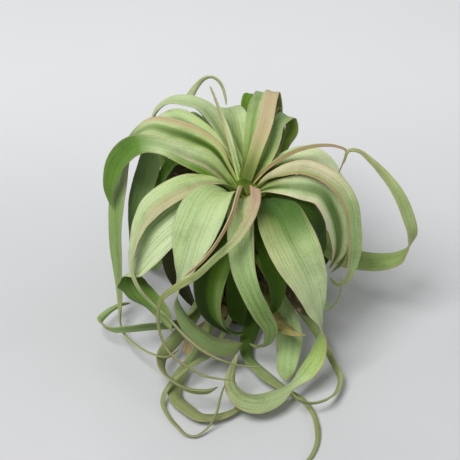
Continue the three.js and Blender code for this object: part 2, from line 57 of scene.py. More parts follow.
room = bpy.data.worlds.new("room")
room.use_nodes = True
room.node_tree.nodes["Background"].inputs["Color"].default_value = (0.99, 0.99, 1.0, 1)
room.node_tree.nodes["Background"].inputs["Strength"].default_value = 0.3
bpy.context.scene.world = room


def soft_box(name, place, width, power):
    """A square area light at place, turned towards the middle of the plant."""
    lamp = bpy.data.lights.new(name, "AREA")
    lamp.size = width
    lamp.energy = power
    box = bpy.data.objects.new(name, lamp)
    box.location = place
    box.rotation_euler = (Vector((0, 0, 0.05)) - Vector(place)).to_track_quat("-Z", "Y").to_euler()
    bpy.context.scene.collection.objects.link(box)


soft_box("soft_box_top", (-0.4, -0.5, 1.2), 0.6, 14.5)
soft_box("soft_box_right", (1.1, -0.5, 0.7), 0.7, 1.6)
soft_box("soft_box_back", (-0.2, 1.5, 1.1), 0.9, 4.5)


# ---------------------------------------------------------------- Floor
# A plain pale table top, far larger than the view. The first finish is made here, so this is where
# the material maker is defined.
def srgb(red, green, blue):
    """A colour of 0 to 255 steps as linear red, green, blue and alpha."""
    steps = np.array([red, green, blue]) / 255
    linear = np.where(steps <= 0.04045, steps / 12.92, ((steps + 0.055) / 1.055) ** 2.4)
    return (*linear.tolist(), 1.0)


class Value:
    """An output in a finish's node tree. Arithmetic on it adds Math nodes and gives a new Value."""

    def __init__(self, finish, socket):
        self.finish = finish
        self.socket = socket

    def math(self, operation, first, second):
        return self.finish.node("ShaderNodeMath", {"operation": operation}, {0: first, 1: second})

    def __add__(self, other):
        return self.math("ADD", self, other)

    def __radd__(self, other):
        return self.math("ADD", other, self)

    def __sub__(self, other):
        return self.math("SUBTRACT", self, other)

    def __rsub__(self, other):
        return self.math("SUBTRACT", other, self)

    def __mul__(self, other):
        return self.math("MULTIPLY", self, other)

    def __rmul__(self, other):
        return self.math("MULTIPLY", other, self)

    def __pow__(self, other):
        return self.math("POWER", self, other)


class Finish:
    """A material. Values that are the same all over go straight onto its shader's sockets."""

    def __init__(self, name, **fixed):
        self.material = bpy.data.materials.new(name)
        self.material.use_nodes = True
        self.tree = self.material.node_tree
        self.shader = self.tree.nodes["Principled BSDF"]
        for socket, value in fixed.items():
            self.shader.inputs[socket.replace("_", " ")].default_value = value

    def feed(self, socket, value):
        """Links a Value to a socket, or sets the socket to a number or colour."""
        if isinstance(value, Value):
            self.tree.links.new(value.socket, socket)
        else:
            socket.default_value = value

    def node(self, kind, settings, inputs, output=0):
        """One node: its settings first, then the value or link of each socket. Gives one of its outputs."""
        node = self.tree.nodes.new(kind)
        for setting, value in settings.items():
            setattr(node, setting, value)
        for socket, value in inputs.items():
            self.feed(node.inputs[socket], value)
        return Value(self, node.outputs[output])

    def mix(self, factor, first, second, blend="MIX"):
        """Two colours mixed by a factor."""
        settings = {"data_type": "RGBA", "blend_type": blend, "clamp_factor": True}
        return self.node("ShaderNodeMix", settings, {0: factor, 6: first, 7: second}, 2)

    def step(self, value, low, high):
        """A smooth step from 0 at low to 1 at high."""
        settings = {"interpolation_type": "SMOOTHSTEP"}
        return self.node("ShaderNodeMapRange", settings, {0: value, 1: low, 2: high})

    def noise(self, vector, scale, detail=3.0, roughness=0.55):
        """Fractal noise, 0 to 1, read at a vector."""
        inputs = {"Vector": vector, "Scale": scale, "Detail": detail, "Roughness": roughness}
        return self.node("ShaderNodeTexNoise", {}, inputs)

    def surface(self, colour, roughness, height, distance):
        """Joins the colour, the roughness and a bump of a distance in metres to the shader."""
        bump = self.node("ShaderNodeBump", {}, {"Strength": 1.0, "Distance": distance, "Height": height})
        self.feed(self.shader.inputs["Base Color"], colour)
        self.feed(self.shader.inputs["Roughness"], roughness)
        self.feed(self.shader.inputs["Normal"], bump)
        return self.material


def object_place(finish):
    """Object coordinates."""
    return finish.node("ShaderNodeTexCoord", {}, {}, 3)


def floor_finish():
    """Matt pale grey board with a hardly visible mottle, lighter towards the back: its front is darkened with
    painted shade.
    """
    finish = Finish("floor_board", Specular_IOR_Level=0.2)
    place = object_place(finish)
    mottle = finish.noise(place, 9.0)
    depth = finish.node("ShaderNodeSeparateXYZ", {}, {0: place}, 1)
    # Painted shade: the board's colour darkens from the back towards the front, standing in for the light
    # falling off.
    board = finish.mix(finish.step(depth, 0.23, -0.03), srgb(233, 234, 235), srgb(198, 199, 200))
    colour = finish.mix(0.5 * mottle, board, srgb(222, 223, 226))
    return finish.surface(colour, 0.8 + 0.1 * mottle, mottle, 0.00002)


floor_mesh = bpy.data.meshes.new("floor")
floor_mesh.from_pydata([(-4, -4, 0), (4, -4, 0), (4, 4, 0), (-4, 4, 0)], [], [(0, 1, 2, 3)])
floor_mesh.materials.append(floor_finish())
floor = bpy.data.objects.new("floor", floor_mesh)
bpy.context.scene.collection.objects.link(floor)


# ---------------------------------------------------------------- Bulb
# The swollen base under the leaves: dark, fibrous old sheaths wrapped round each other, dying back to
# brown below and fresh green at the neck. The leaves come out of its upper half.
BULB_FOLDS = 3
BULB_FOLD = 0.05  # depth of the folds, as a share of the radius
BULB_FOLD_TWIST = 0.06  # radians a millimetre up
SHEATH_STEP = 0.022  # height of the step where a sheath ends, as a share of the radius
SHEATH_PITCH = 31  # millimetres up from one such step to the next
BULB_PROFILE = [
    [0, 0], [9, 0], [12.5, 3], [15.5, 9], [16.5, 17], [15.5, 26], [13.5, 35], [11.5, 44],
    [10, 54], [9, 62], [7.8, 69], [6.2, 74], [3.8, 77.5], [0, 79],
]


def smooth_route(points, t):
    """Centripetal Catmull-Rom curve through points, and its unit tangent. Between two points the curve is
    the cubic whose end slopes are the weighted slopes to the neighbours, each span weighted by the root of
    its length; t runs from 0 to 1 with the same share for each span."""
    points = np.asarray(points, float)
    padded = np.vstack([2 * points[0] - points[1], points, 2 * points[-1] - points[-2]])
    spans = len(points) - 1
    index = np.minimum((t * spans).astype(int), spans - 1)
    w = (t * spans - index)[:, None]
    a, b, c, d = (padded[index + k] for k in range(4))
    neighbours = ((a, b), (b, c), (c, d))
    ab, bc, cd = (np.sqrt(np.linalg.norm(q - p, axis=1, keepdims=True)) for p, q in neighbours)
    start = ((b - a) / ab - (c - a) / (ab + bc) + (c - b) / bc) * bc
    end = ((c - b) / bc - (d - b) / (bc + cd) + (d - c) / cd) * bc
    square = 3 * (c - b) - 2 * start - end
    cube = 2 * (b - c) + start + end
    tangent = start + 2 * square * w + 3 * cube * w**2
    tangent = tangent / np.linalg.norm(tangent, axis=1, keepdims=True)
    return b + start * w + square * w**2 + cube * w**3, tangent


def tube_mesh(name, rings, tint, place):
    """Closed mesh of a grid of rings [ring, point round it, xyz in mm]: quads between rings and a fan of
    triangles at either end. tint is the colour and place the pattern coordinates of each grid point."""
    count, around = rings.shape[:2]
    ends = rings[[0, -1]].mean(axis=1)
    corners = np.vstack([rings.reshape(-1, 3), ends])
    ring, point = np.meshgrid(np.arange(count - 1), np.arange(around), indexing="ij")
    after = (point + 1) % around
    low, high = ring * around, (ring + 1) * around
    quads = np.stack([low + point, low + after, high + after, high + point], -1).reshape(-1, 4)
    here = np.arange(around)
    beside = (here + 1) % around
    last = (count - 1) * around
    base_fan = np.stack([beside, here, np.full(around, count * around)], -1)
    tip_fan = np.stack([last + here, last + beside, np.full(around, count * around + 1)], -1)
    fans = np.vstack([base_fan, tip_fan])
    first, second, third = (corners[quads[:, k]] for k in (0, 1, 2))
    if np.einsum("ij,ij->", first - corners.mean(0), np.cross(second - first, third - first)) < 0:
        quads, fans = quads[:, ::-1], fans[:, ::-1]
    mesh = bpy.data.meshes.new(name)
    mesh.from_pydata((corners / 1000).tolist(), [], quads.tolist() + fans.tolist())
    mesh.shade_smooth()
    layers = (("tint", "FLOAT_COLOR", tint, "color"), ("place", "FLOAT_VECTOR", place, "vector"))
    for label, kind, values, key in layers:
        at_ends = values[[0, -1]].mean(axis=1)
        flat = np.vstack([values.reshape(-1, values.shape[-1]), at_ends]).astype(np.float32)
        mesh.attributes.new(label, kind, "POINT").data.foreach_set(key, flat.ravel())
    return mesh


def place_piece(name, mesh, material, node):
    """Puts a finished mesh into the scene as a piece that stands for a CAD node."""
    mesh.materials.append(material)
    piece = bpy.data.objects.new(name, mesh)
    bpy.context.scene.collection.objects.link(piece)
    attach(piece, "root")
    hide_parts(node)


def colours_along(stops, t):
    """Colour at each t, mixed evenly between stops of [t, srgb colour]."""
    table = np.array([srgb(*colour) for _, colour in stops])
    ts = [stop for stop, _ in stops]
    return np.stack([np.interp(t, ts, table[:, channel]) for channel in range(4)], -1)


def bulb_mesh():
    """A turned profile, its radius swollen and pinched by three twisted folds. Each fold's sheath ends in a
    small step, and fine fibres run up it."""
    height = np.linspace(0, 1, 150)
    outline, _ = smooth_route([[r, 0, z] for r, z in BULB_PROFILE], height)
    radius = np.maximum(outline[:, 0], 0.02)[:, None]
    level = np.maximum(outline[:, 2], 0)[:, None]
    angle = np.linspace(0, 2 * np.pi, 144, endpoint=False)[None, :]
    above_foot = np.clip(level - 1, 0, 1)
    turn = angle + BULB_FOLD_TWIST * level
    fold = BULB_FOLD * np.cos(BULB_FOLDS * turn)
    sheath = SHEATH_STEP * (np.mod(BULB_FOLDS * turn / (2 * np.pi) + level / SHEATH_PITCH, 1) - 0.5)
    fibre = 0.006 * np.sin(31 * turn + 2 * np.sin(level / 5)) + 0.004 * np.sin(53 * turn - level / 3)
    swell = radius * (1 + above_foot * (fold + sheath + fibre))
    rings = np.stack([swell * np.cos(angle), swell * np.sin(angle), level + 0 * angle], -1)
    # Dead brown at the foot to fresh green at the neck; the darker green at the very top is painted shade in
    # the crown, where the leaves crowd over it.
    stops = [
        (0, (60, 47, 35)), (22, (70, 58, 40)), (45, (84, 76, 44)), (60, (112, 118, 58)),
        (68, (118, 140, 50)), (73, (142, 158, 66)), (77, (118, 138, 46)), (79, (74, 98, 24)),
    ]
    tint = np.broadcast_to(colours_along(stops, level[:, 0])[:, None, :], (*rings.shape[:2], 4))
    place = np.stack([level + 0 * angle, radius * turn, 0 * level * angle], -1) / 1000
    return tube_mesh("bulb_sheaths", rings, tint, place)


def bulb_finish():
    """Dull fibres: dark and pale strands up the bulb, with grey-brown flecks of torn skin."""
    finish = Finish("bulb_fibre", Specular_IOR_Level=0.2)
    tint = finish.node("ShaderNodeAttribute", {"attribute_name": "tint"}, {})
    place = finish.node("ShaderNodeAttribute", {"attribute_name": "place"}, {}, 1)
    drawn_out = finish.node("ShaderNodeVectorMath", {"operation": "MULTIPLY"}, {0: place, 1: (60, 1500, 1)})
    strand = finish.noise(drawn_out, 1.0, 4.0)
    fleck = finish.step(finish.noise(object_place(finish), 260.0, 5.0, 0.65), 0.56, 0.66)
    level = finish.node("ShaderNodeSeparateXYZ", {}, {0: place}, 0)
    old = 1 - finish.step(level, 0.056, 0.068)
    darker = finish.mix(old * finish.step(strand, 0.65, 0.3), tint, srgb(40, 32, 22))
    colour = finish.mix(0.45 * old * fleck, darker, srgb(150, 132, 100))
    return finish.surface(colour, 0.75 + 0.2 * strand, strand + 0.5 * fleck, 0.0005)


place_piece("bulb_sheaths", bulb_mesh(), bulb_finish(), "bulb")


# ---------------------------------------------------------------- Leaves round the back and the inside
# Broad channelled blades on the shaded side of the ball. Every leaf is one curved blade, grown along a
# listed route of [x, y, z, width, roll]; its upper side turns outwards as it runs and leans by the roll.
BALL_CENTRE = np.array([0.0, 0.0, 45.0])  # the leaves curl round it
HEART_SHIFT = 0.4  # a leaf's own centre of curl lies this share of the way to the ball's
CURL_PULL = 0.6  # how fast a leaf turns its upper side away from that centre, for each route point
STEEP_START = 0.2  # below this the curl gives no clear upper side at the base, and up is added
BROAD_WIDTH = 9  # a leaf at least this wide is worked out in finer steps
STRAP_WIDTH = 5.5  # a leaf at least this wide is a channel, a narrower one a flat thong
STRAP_STEPS, THONG_STEPS = 9, 7  # rings from one route point to the next
STRAP_SIDES, THONG_SIDES = 28, 16  # points round a ring
BASE_FLARE = 3.2  # extra width where a leaf clasps the bulb
BASE_LENGTH = 9  # how far along a leaf it dies away
MIDDLE_THICKNESS = 0.9
EDGE_THICKNESS = 0.6  # of the narrowest blades
CHANNEL_RISE = 0.28  # of a strap's margins, as a share of its width
CHANNEL_FLATTENING = 0.65  # share of that rise lost where a strap is flattest
FLATTENING_SPAN = 1.1  # so that the rise is back a little before the tip
THONG_RISE = 0.1  # the same of a thong
RISE_POWER = 1.4  # of the distance from the midrib
WAVE_RISE = 0.016  # of a margin, for each millimetre that the leaf is wider than WAVY_WIDTH
WAVY_WIDTH = 6
WAVIEST_EXCESS = 12  # a leaf wider than that by more waves no further
WAVE_LENGTH = 4.5  # millimetres along a leaf for a radian of the wave
PINK_BAND = 0.7  # widest pink margin, and on a narrow leaf PINK_SHARE of half its width
PINK_SHARE = 0.3
WASH_EDGE = 0.3  # how softly a wash ends, as a share of half the width
PINK = (190, 156, 128)


def widths_along(listed, t):
    """Uniform Catmull-Rom through the listed widths, kept within a tenth of the two beside it."""
    padded = np.concatenate([listed[:1], listed, listed[-1:]])
    spans = len(listed) - 1
    index = np.minimum((t * spans).astype(int), spans - 1)
    f = t * spans - index
    a, b, c, d = (padded[index + k] for k in range(4))
    smooth = b + 0.5 * f * (c - a + f * (2 * a - 5 * b + 4 * c - d + f * (3 * b - a - 3 * c + d)))
    return np.maximum(np.clip(smooth, 0.9 * np.minimum(b, c), 1.1 * np.maximum(b, c)), 1)


def across_run(vectors, run):
    """The part of vectors that is square to run."""
    return vectors - (vectors * run).sum(-1, keepdims=True) * run


def upper_side(points, wide, t):
    """Which way the upper side faces at each t, before the roll. Carried along the leaf in even steps, it
    turns a little further from the leaf's own centre of curl at each one."""
    per_point = 3 if wide >= BROAD_WIDTH else 2
    steps = (len(points) - 1) * per_point
    step_t = np.linspace(0, 1, steps + 1)
    middle, run = smooth_route(points, step_t)
    heart = points.mean(0) * (1 - HEART_SHIFT) + BALL_CENTRE * HEART_SHIFT
    outward = middle - heart
    outward = across_run(outward / np.linalg.norm(outward, axis=1, keepdims=True), run)
    facing = outward[0]
    if np.linalg.norm(facing) < STEEP_START:
        facing = facing + across_run(np.array([0.0, 0.0, 1.0]), run[0])
        facing = facing / np.linalg.norm(facing)
    faces = np.empty_like(middle)
    for k in range(steps + 1):
        facing = across_run(facing + CURL_PULL / per_point * outward[k], run[k])
        facing = facing / np.linalg.norm(facing)
        faces[k] = facing
    return np.stack([np.interp(t, step_t, faces[:, axis]) for axis in range(3)], -1)


def blade_mesh(name, route, paint, number):
    """A channelled blade. Its middle follows the route; across it, the section is a flattened oval whose
    margins rise with a power of the distance from the midrib, and they wave a little on broad leaves. The
    last few millimetres close in a quarter ellipse. Its colours are stops along it, then washes over them;
    its pattern coordinates are the way along it, the way across it and how pink it is."""
    points = np.array([point[:3] for point in route], float)
    listed = np.array([point[3] for point in route], float)
    rolls = np.radians([point[4] if len(point) > 4 else 0 for point in route])
    wide = listed.max()
    strap = wide >= STRAP_WIDTH
    spans = len(route) - 1
    t = np.linspace(0, 1, spans * (STRAP_STEPS if strap else THONG_STEPS) + 1)
    middle, run = smooth_route(points, t)
    upper = across_run(upper_side(points, wide, t), run)
    upper = upper / np.linalg.norm(upper, axis=1, keepdims=True)
    index = np.minimum((t * spans).astype(int), spans - 1)
    f = t * spans - index
    roll = (rolls[index] + (rolls[index + 1] - rolls[index]) * f * f * (3 - 2 * f))[:, None]
    upper = upper * np.cos(roll) + np.cross(run, upper) * np.sin(roll)
    side = np.cross(run, upper)

    gone = np.concatenate([[0], np.cumsum(np.linalg.norm(np.diff(middle, axis=0), axis=1))])
    flare = BASE_FLARE * min(1, wide / BROAD_WIDTH) * np.exp(-((gone / BASE_LENGTH) ** 2))
    width = widths_along(listed, t) + flare
    tip_length = 2.2 * width[-1] + 2
    tip = np.clip((gone - gone[-1]) / tip_length + 1, 0, 1)
    closing = np.sqrt(np.maximum(1 - tip**2, 0.004))
    thick = np.clip(width / 2, EDGE_THICKNESS, MIDDLE_THICKNESS) / 2 * closing
    half = width / 2 * closing
    flatness = np.sin(np.pi * np.minimum(1, FLATTENING_SPAN * t))
    channel = CHANNEL_RISE * (1 - CHANNEL_FLATTENING * flatness) if strap else THONG_RISE + 0 * t
    excess = np.clip(width - WAVY_WIDTH, 0, WAVIEST_EXCESS)
    wave = WAVE_RISE * excess * np.sin(gone / WAVE_LENGTH + number) * closing

    angle = np.linspace(0, 2 * np.pi, STRAP_SIDES if strap else THONG_SIDES, endpoint=False)
    across, up = np.cos(angle), np.sin(angle)
    rounded = np.sign(up) * np.abs(up) ** 0.7
    rise = (channel * 2 * half)[:, None] * np.abs(across) ** RISE_POWER
    lift = rise + wave[:, None] * across + thick[:, None] * rounded
    spread = half[:, None] * across
    rings = middle[:, None] + side[:, None] * spread[..., None] + upper[:, None] * lift[..., None]

    top = np.clip(0.5 + 3 * up, 0, 1)[None, :]
    faces = {"upper": top, "under": 1 - top, "both": 1 + 0 * top}
    tint = colours_along(paint["upper"], t)[:, None] * top[..., None]
    tint = tint + colours_along(paint["under"], t)[:, None] * (1 - top)[..., None]
    from_margin = half[:, None] * (1 - np.abs(across))
    band = np.minimum(PINK_BAND, PINK_SHARE * half)[:, None]
    comes_and_goes = 0.65 + 0.35 * np.sin(gone / 9 + 2.4 * number)
    margin = np.interp(t, *zip(*paint["margin"])) * comes_and_goes
    pink = np.clip(1.2 - from_margin / band, 0, 1) * margin[:, None]
    for face, (right, left), colour, stops in paint["washes"]:
        from_right = np.clip((across - right) / WASH_EDGE + 0.5, 0, 1)
        from_left = np.clip((left - across) / WASH_EDGE + 0.5, 0, 1)
        share = np.interp(t, *zip(*stops))[:, None] * faces[face] * (from_right * from_left)[None, :]
        if colour is PINK:
            pink = np.maximum(pink, share)
        else:
            tint = tint + (np.array(srgb(*colour)) - tint) * share[..., None]
    tint[..., 3] = paint["ribbing"]
    from_start = gone[:, None] / 1000 + 0.37 * number
    place = np.stack([from_start + 0 * pink, spread / 1000, pink], -1)
    return tube_mesh(name, rings, tint, place)


def leaf_finish():
    """Matt leaf skin under a silvery powder of scales: fine ribs run along the blade, broader streaks and
    soft patches vary its green, and the margins and some arches blush pink."""
    finish = Finish("leaf_skin", Specular_IOR_Level=0.15, Sheen_Weight=0.04, Sheen_Roughness=0.5)
    tint = finish.node("ShaderNodeAttribute", {"attribute_name": "tint"}, {})
    ribbing = finish.node("ShaderNodeAttribute", {"attribute_name": "tint"}, {}, 3)
    place = finish.node("ShaderNodeAttribute", {"attribute_name": "place"}, {}, 1)
    pink = finish.node("ShaderNodeSeparateXYZ", {}, {0: place}, 2)
    ribs_at = finish.node("ShaderNodeVectorMath", {"operation": "MULTIPLY"}, {0: place, 1: (26, 1300, 0)})
    ribs = finish.noise(ribs_at, 1.0, 3.0)
    streaks_at = finish.node("ShaderNodeVectorMath", {"operation": "MULTIPLY"}, {0: place, 1: (12, 620, 0)})
    streaks = finish.noise(streaks_at, 1.0, 2.0)
    patches = finish.noise(object_place(finish), 70.0)
    powder = finish.noise(object_place(finish), 1500.0, 3.0, 0.6)
    bright = finish.node("ShaderNodeRGBToBW", {}, {0: tint})
    deep = finish.mix(0.8, tint, srgb(120, 146, 84), "MULTIPLY")
    silver = finish.mix(1.5 * bright**2, tint, srgb(216, 230, 198))
    streaked = finish.mix(0.5 * finish.step(streaks, 0.4, 0.7), tint, silver)
    ribbed = finish.mix(ribbing * finish.step(ribs, 0.46, 0.66), streaked, deep)
    patched = finish.mix(0.35 * finish.step(patches, 0.44, 0.7), ribbed, deep)
    powdered = finish.mix(0.55 * finish.step(powder, 0.48, 0.66), patched, silver)
    worn = finish.noise(object_place(finish), 240.0, 4.0, 0.6)
    blush = finish.mix(finish.step(pink, 0.8, 1.2), srgb(*PINK), srgb(150, 104, 74))
    colour = finish.mix(pink * (0.1 + 0.8 * streaks + 0.6 * worn), powdered, blush)
    height = 0.7 * ribs + 0.5 * streaks + 0.12 * powder
    return finish.surface(colour, 0.52 + 0.2 * powder, height, 0.00045)


leaf_skin = leaf_finish()
NEW_GREEN = (162, 184, 70)
FRESH = (176, 198, 110)
SAGE = (158, 184, 118)
PALE = (188, 206, 150)
CREAM = (216, 198, 166)
RUST = (168, 120, 88)
# The green and deep greens below are the undersides' own darker colours, and they are also laid on as painted
# shade: on leaves inside the ball, in channels and under other leaves.
GREEN = (108, 142, 54)
DEEP_GREEN_AND_SHADE = (60, 92, 8)
VIVID = (94, 136, 14)
OLIVE = (148, 156, 98)
STRAW = (182, 176, 126)
TONES = {
    "pale": [(0, NEW_GREEN), (0.1, FRESH), (0.3, PALE), (0.7, PALE), (1, STRAW)],
    "sage": [(0, NEW_GREEN), (0.1, FRESH), (0.3, SAGE), (0.8, SAGE), (1, OLIVE)],
    "green": [(0, NEW_GREEN), (0.12, GREEN), (0.8, GREEN), (1, OLIVE)],
    "vivid": [(0, NEW_GREEN), (0.12, VIVID), (0.8, VIVID), (1, OLIVE)],
    "deep": [(0, GREEN), (0.3, DEEP_GREEN_AND_SHADE), (1, DEEP_GREEN_AND_SHADE)],
    "olive": [(0, FRESH), (0.2, SAGE), (0.5, OLIVE), (1, OLIVE)],
    "umber": [(0, GREEN), (0.4, (70, 74, 36)), (1, (62, 60, 34))],
    "tan": [(0, (150, 130, 92)), (1, (190, 172, 132))],
    "yellowed": [(0, (140, 136, 76)), (1, (168, 160, 96))],
    "brown": [(0, (66, 54, 40)), (1, (96, 82, 62))],
}
# Darker midline washes: partly the midrib's own deeper green, partly painted shade in the channel of the
# blade.
GROOVE_COLOUR_AND_SHADE = ("upper", (-0.3, 0.3), DEEP_GREEN_AND_SHADE, [(0, 1), (0.12, 0.95), (0.3, 0.4), (0.6, 0.12), (1, 0.12)])
FAINT_GROOVE_COLOUR_AND_SHADE = ("upper", (-0.3, 0.3), DEEP_GREEN_AND_SHADE, [(0, 0.9), (0.06, 0.6), (0.14, 0.15), (1, 0.1)])
leaf_numbers = itertools.count(1)  # each leaf's waves and ribs start at their own place


def grow_leaves(routes, looks, finish, groove_colour_and_shade=GROOVE_COLOUR_AND_SHADE):
    """Makes each leaf of a group. looks gives its [tone of the upper side, tone of the underside, strength of
    the pink margins, strength of the ribs, washes]. A wash is [face, its reach across from -1 at the right
    margin to 1 at the left one, colour, its strength along]."""
    for node, route in routes.items():
        upper, under, margin, ribbing, *washes = looks[node if node in looks else "others"]
        strength = [(0, 0.2 * margin), (0.2, 0.8 * margin), (0.75, 0.8 * margin), (1, 0.3 * margin)]
        paint = {
            "upper": TONES[upper], "under": TONES[under], "margin": strength, "ribbing": ribbing,
            "washes": [groove_colour_and_shade, *washes],
        }
        name = node + "_blade"
        place_piece(name, blade_mesh(name, route, paint, next(leaf_numbers)), finish, node)


BEHIND_LEAVES = {
    "leaf_behind_left": [
        [-8, 6, 50, 4], [-19, 25, 56, 8, -10], [-31, 41, 54, 13, -30], [-38, 44, 44, 13, -35],
        [-41, 42, 33, 10, -30], [-39, 39, 25, 4, -30],
    ],
    "leaf_behind_center": [
        [-2, 9, 52, 4], [-6, 22, 58, 12], [-9, 36, 56, 16], [-10, 43, 45, 16], [-9, 44, 31, 14],
        [-6, 39, 16, 10], [-2, 30, 8, 5],
    ],
    "leaf_behind_center_2": [
        [5, 8, 54, 4], [11, 21, 65, 11], [15, 32, 64, 14], [18, 39, 50, 14], [18, 40, 34, 12],
        [15, 35, 19, 9], [10, 27, 9, 4],
    ],
    "leaf_behind_right": [
        [9, 5, 46, 4], [20, 16, 53, 10, 10], [32, 25, 53, 14, 20], [41, 28, 41, 14, 30], [42, 28, 26, 12, 30],
        [38, 24, 12, 8, 30], [31, 21, 5, 3, 20],
    ],
    "leaf_behind_low_left": [
        [-10, 5, 43, 5], [-22, 13, 46, 12, -10], [-32, 18, 37, 15, -30], [-38, 20, 23, 15, -40],
        [-41, 24, 11, 10, -30], [-46, 30, 4, 6], [-54, 35, 2, 3],
    ],
    "leaf_behind_low_right": [
        [7, 10, 44, 5], [17, 21, 50, 11], [27, 30, 45, 12], [32, 36, 32, 12], [33, 38, 18, 9],
        [30, 40, 7, 6], [22, 42, 3, 4], [12, 40, 4, 2.5],
    ],
    "leaf_deep_left": [
        [-7, -2, 59, 4], [-19, -4, 62, 8, -20], [-28, -5, 56, 11, -45], [-32, -6, 43, 13, -60],
        [-31, -6, 29, 11, -60], [-26, -7, 16, 6, -60], [-23, -7, 8, 3, -60],
    ],
}
BEHIND_LOOKS = {
    "leaf_deep_left": ("umber", "umber", 0.1, 0.3),
    "others": ("green", "deep", 0.25, 0.4),
}
grow_leaves(BEHIND_LEAVES, BEHIND_LOOKS, leaf_skin)


# ---------------------------------------------------------------- Withered leaves
# Four short dead leaves low in the ball and behind the bulb: papery, tan to brown, dull on both sides.
def dry_finish():
    """Papery dead leaf: brown ribs and blotches on tan, rough all over."""
    finish = Finish("dry_leaf_paper", Specular_IOR_Level=0.15)
    tint = finish.node("ShaderNodeAttribute", {"attribute_name": "tint"}, {})
    place = finish.node("ShaderNodeAttribute", {"attribute_name": "place"}, {}, 1)
    ribs_at = finish.node("ShaderNodeVectorMath", {"operation": "MULTIPLY"}, {0: place, 1: (50, 2200, 0)})
    ribs = finish.noise(ribs_at, 1.0, 3.0)
    blotches = finish.noise(object_place(finish), 190.0, 4.0)
    ribbed = finish.mix(0.7 * finish.step(ribs, 0.4, 0.7), tint, srgb(84, 70, 44))
    colour = finish.mix(0.5 * finish.step(blotches, 0.52, 0.68), ribbed, srgb(196, 182, 146))
    return finish.surface(colour, 0.8 + 0.15 * ribs, ribs + 0.5 * blotches, 0.0006)


DRY_LEAVES = {
    "dry_leaf_right": [
        [6, -13, 30, 3.5], [12, -27, 26, 5.5], [16, -38, 27, 7], [21, -47, 31, 6], [27, -52, 33, 1],
    ],
    "dry_leaf_brown": [
        [10, -6, 43, 4], [17, -16, 40, 9, 10], [22, -23, 35, 13, 15], [27, -28, 29, 11, 15],
        [31, -31, 23, 3, 10],
    ],
    "dry_leaf_left": [
        [-9, -14, 16, 3.5], [-16, -21, 12, 6], [-22, -28, 10, 8.5], [-25, -35, 8, 8], [-25, -39, 7, 2],
    ],
    "dry_leaf_back": [
        [-9, 4, 55, 5], [-19, 14, 63, 12, -10], [-26, 22, 66, 16, -20],
        [-34, 25, 62, 14, -30], [-38, 25, 52, 5, -30],
    ],
}
DRY_LOOKS = {
    "dry_leaf_left": ("tan", "tan", 0, 0),
    "dry_leaf_right": ("yellowed", "yellowed", 0, 0),
    "others": ("brown", "brown", 0, 0),
}
grow_leaves(DRY_LEAVES, DRY_LOOKS, dry_finish())


# ---------------------------------------------------------------- Low leaves
# Narrow leaves that leave the bulb lower down, loop forward and lie out over the table in long curls.
LOW_LEAVES = {
    "leaf_left_loop": [
        [-7, -9, 42, 3], [-17, -20, 29, 5.5], [-24, -26, 21.5, 6.5], [-33, -29, 19, 7], [-44, -28, 16.5, 7],
        [-54, -27, 14, 6.5], [-62, -25, 12, 5.5], [-67, -19, 11, 4], [-64, -12, 10, 3], [-59, -5, 8, 2],
        [-54, 0, 5, 1],
    ],
    "leaf_low_left_inner": [
        [-10, -8, 38, 3], [-18, -15, 24, 5.5], [-25, -24, 15, 6.5], [-32, -33, 12, 6.5], [-37, -42, 12, 6],
        [-37, -53, 14, 5.5], [-33, -61, 15, 5.5], [-25, -66, 14, 5.5], [-17, -67, 14, 4.5],
        [-12, -65, 14, 2.5],
    ],
    "leaf_low_left_outer": [
        [-7, -10, 34, 3], [-13, -15, 17, 4.5], [-18, -37, 17, 5.5], [-25, -43, 8, 5.5],
        [-31, -53, 4, 6.5, 35], [-31, -62, 4, 6.5, 45], [-26, -68, 4, 7, 45], [-20, -73, 4, 6.5, 45],
        [-13, -73, 4, 5.5, 45], [-6, -70, 4, 4, 40], [-1, -66, 5, 2.5, 30], [2, -64, 8, 2],
    ],
    "leaf_low_left_thin": [
        [-4, -15, 19, 2.5], [-8, -21, 11, 2.5], [-15, -37, 8, 2.5], [-24, -49, 12, 2.5], [-33, -57, 9, 2.5],
        [-37, -64, 4, 2], [-34, -71, 1.5, 2], [-30, -77, 1.5, 2], [-26, -82, 1.5, 2], [-22, -83, 1.5, 2],
        [-17, -80, 3, 2], [-13, -76, 8, 2], [-11, -70, 13, 1.5], [-9, -65, 16, 1],
    ],
    "leaf_low_right_loop": [
        [7, -9, 46, 2.5], [19, -17, 28, 4.5], [29, -25, 17, 4.5], [36, -33, 10, 4], [40, -43, 8, 3.5],
        [43, -51, 6, 3.5], [41, -59, 5, 3.5], [36, -66, 7, 3.5], [29, -69, 8, 3], [24, -69, 10, 2.5],
        [20, -66, 12, 2],
    ],
    "leaf_low_right": [
        [4, -10, 43, 2.5], [13, -17, 30, 6.5], [18.5, -27, 22, 10, -20], [20, -36, 17, 12.5, -40],
        [19.5, -43, 13.5, 11, -45], [18.5, -50, 11.5, 9, -45], [18.5, -54.5, 10.5, 6, -45],
        [18.5, -57.5, 10, 2.5, -45],
    ],
    "leaf_low_front": [
        [5, -14, 14, 5], [4, -21, 9, 7], [1.5, -29, 6.5, 7.5], [2, -37, 5.5, 7], [6, -43, 5, 8],
        [10.5, -48.5, 5, 10], [15.5, -53, 4, 9], [21, -56.5, 2.5, 5], [26, -61, 2.5, 3.5], [29, -66, 2.5, 3],
        [31, -72, 2.5, 2.5], [32, -80, 2, 2.5], [31, -88, 2, 2], [28, -95, 1.5, 2], [25, -99, 1.5, 1],
    ],
}
